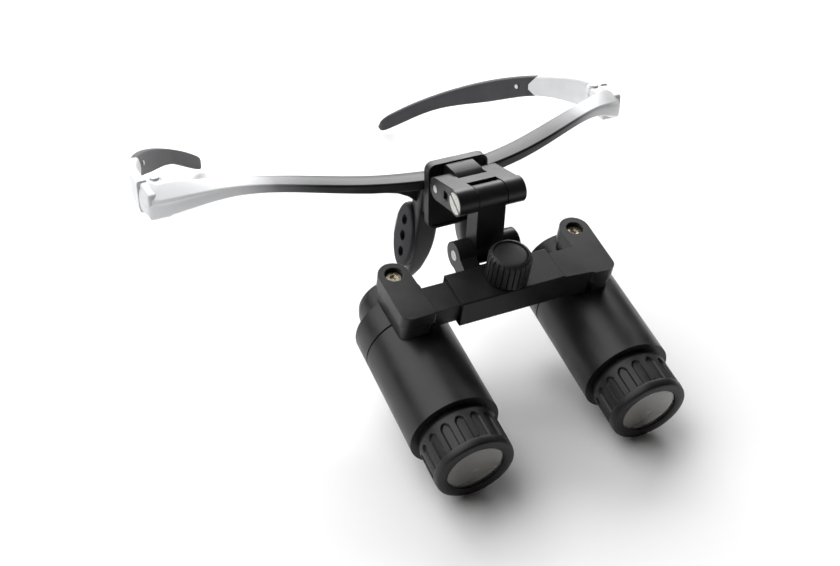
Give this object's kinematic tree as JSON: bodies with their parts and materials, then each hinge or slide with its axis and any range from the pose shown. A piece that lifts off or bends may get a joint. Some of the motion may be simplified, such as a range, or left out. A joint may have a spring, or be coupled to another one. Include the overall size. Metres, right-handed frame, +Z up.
{
  "type": "dental loupes",
  "caption": "Prism telescope loupes on a geared crossbar, hung by a two-pivot flip arm from a half-rim spectacle frame with nose pads and rubber-tipped folding temples.",
  "frame": {"origin": "middle of the floor under the loupes, standing on the two focus rings and the two temple tips", "axes": "+X to the wearer's left, +Y from the telescopes back toward the wearer, +Z up"},
  "size_m": [0.164, 0.2146, 0.0636],
  "materials": {
    "frame_shell": "satin black at the bridge fading to pearl at the ends",
    "pearl_shell": "pearl",
    "clear_lens": "clear",
    "soft_rubber": "matte",
    "black_metal": "satin black anodised",
    "black_matte": "matte black anodised",
    "bright_steel": "polished",
    "brass_screw": "plated",
    "optical_glass": "coated"
  },
  "bodies": {
    "frame": {"frame_front": "frame_shell", "lens_left": "clear_lens", "lens_right": "clear_lens", "nose_pad_left": "soft_rubber", "nose_pad_right": "soft_rubber", "bridge_plate": "black_metal", "bridge_clamp": "black_metal", "bridge_screws": "bright_steel", "hinge_screw_left": "bright_steel", "hinge_screw_right": "bright_steel"},
    "flip_arm": {"flip_link": "black_metal", "flip_screw": "bright_steel", "rear_pin": "bright_steel"},
    "drop_arm": {"drop_link": "black_metal"},
    "crossbar": {"crossbar_sleeve": "black_metal", "tilt_screw": "bright_steel", "tilt_nut": "black_metal"},
    "pd_drive": {"pd_knob": "black_matte", "pd_pinion": "bright_steel", "pd_knob_screw": "bright_steel", "pd_knob_cap": "black_matte"},
    "temple_left": {"temple_left": "pearl_shell", "temple_tip_left": "soft_rubber", "tip_rivet_left": "bright_steel"},
    "arm_left": {"arm_left": "black_metal"},
    "telescope_left": {"saddle_left": "black_metal", "swing_screw_left": "brass_screw", "rear_housing_left": "black_metal", "eyepiece_housing_left": "black_metal", "eyepiece_lens_left": "optical_glass", "eyepiece_retainer_left": "black_metal", "barrel_tube_left": "black_metal", "prism_holder_left": "black_matte", "roof_prism_left": "optical_glass"},
    "focus_left": {"focus_ring_left": "black_matte", "objective_lens_left": "optical_glass", "objective_retainer_left": "black_metal"},
    "temple_right": {"temple_right": "pearl_shell", "temple_tip_right": "soft_rubber", "tip_rivet_right": "bright_steel"},
    "arm_right": {"arm_right": "black_metal"},
    "telescope_right": {"saddle_right": "black_metal", "swing_screw_right": "brass_screw", "rear_housing_right": "black_metal", "eyepiece_housing_right": "black_metal", "eyepiece_lens_right": "optical_glass", "eyepiece_retainer_right": "black_metal", "barrel_tube_right": "black_metal", "prism_holder_right": "black_matte", "roof_prism_right": "optical_glass"},
    "focus_right": {"focus_ring_right": "black_matte", "objective_lens_right": "optical_glass", "objective_retainer_right": "black_metal"}
  },
  "joints": [
    {"name": "flip_up", "type": "hinge", "parent": "frame", "child": "flip_arm", "pos_m": [0, -0.0431, 0.0581], "axis": [-1, 0, 0], "range_deg": [-3, 75]},
    {"name": "flip_angle", "type": "hinge", "parent": "flip_arm", "child": "drop_arm", "pos_m": [0, -0.05583, 0.05994], "axis": [-1, 0, 0], "range_deg": [-8, 30]},
    {"name": "declination", "type": "hinge", "parent": "drop_arm", "child": "crossbar", "pos_m": [0, -0.05454, 0.04258], "axis": [-1, 0, 0], "range_deg": [-15, 20]},
    {"name": "pd_turn", "type": "hinge", "parent": "crossbar", "child": "pd_drive", "pos_m": [0, -0.0677, 0.0409], "axis": [0, -0.2396, 0.9709], "range_deg": [0, 190]},
    {"name": "temple_fold_left", "type": "hinge", "parent": "frame", "child": "temple_left", "pos_m": [-0.0764, 0.0093, 0.0478], "axis": [0, 0, -1], "range_deg": [0, 70]},
    {"name": "pd_slide_left", "type": "slide", "parent": "crossbar", "child": "arm_left", "axis": [-1, 0, 0], "range_m": [0, 0.0079]},
    {"name": "convergence_left", "type": "hinge", "parent": "arm_left", "child": "telescope_left", "pos_m": [-0.0292, -0.05741, 0.04344], "axis": [0, -0.2396, 0.9709], "range_deg": [-3, 3]},
    {"name": "focus_left", "type": "hinge", "parent": "telescope_left", "child": "focus_left", "pos_m": [-0.02783, -0.0987, 0.01214], "axis": [-0.0279, -0.9705, -0.2395], "range_deg": [-90, 90]},
    {"name": "temple_fold_right", "type": "hinge", "parent": "frame", "child": "temple_right", "pos_m": [0.0764, 0.0093, 0.0478], "axis": [0, 0, 1], "range_deg": [0, 55]},
    {"name": "pd_slide_right", "type": "slide", "parent": "crossbar", "child": "arm_right", "axis": [1, 0, 0], "range_m": [0, 0.008]},
    {"name": "convergence_right", "type": "hinge", "parent": "arm_right", "child": "telescope_right", "pos_m": [0.0281, -0.05751, 0.04342], "axis": [0, -0.2396, 0.9709], "range_deg": [-3, 3]},
    {"name": "focus_right", "type": "hinge", "parent": "telescope_right", "child": "focus_right", "pos_m": [0.02584, -0.09867, 0.01214], "axis": [-0.0488, -0.9697, -0.2393], "range_deg": [-90, 90]}
  ],
  "couplings": [
    {"joint": "pd_slide_right", "follows": "pd_slide_left", "ratio": 1},
    {"joint": "pd_turn", "follows": "pd_slide_left", "rad_per_m": 416.67}
  ]
}
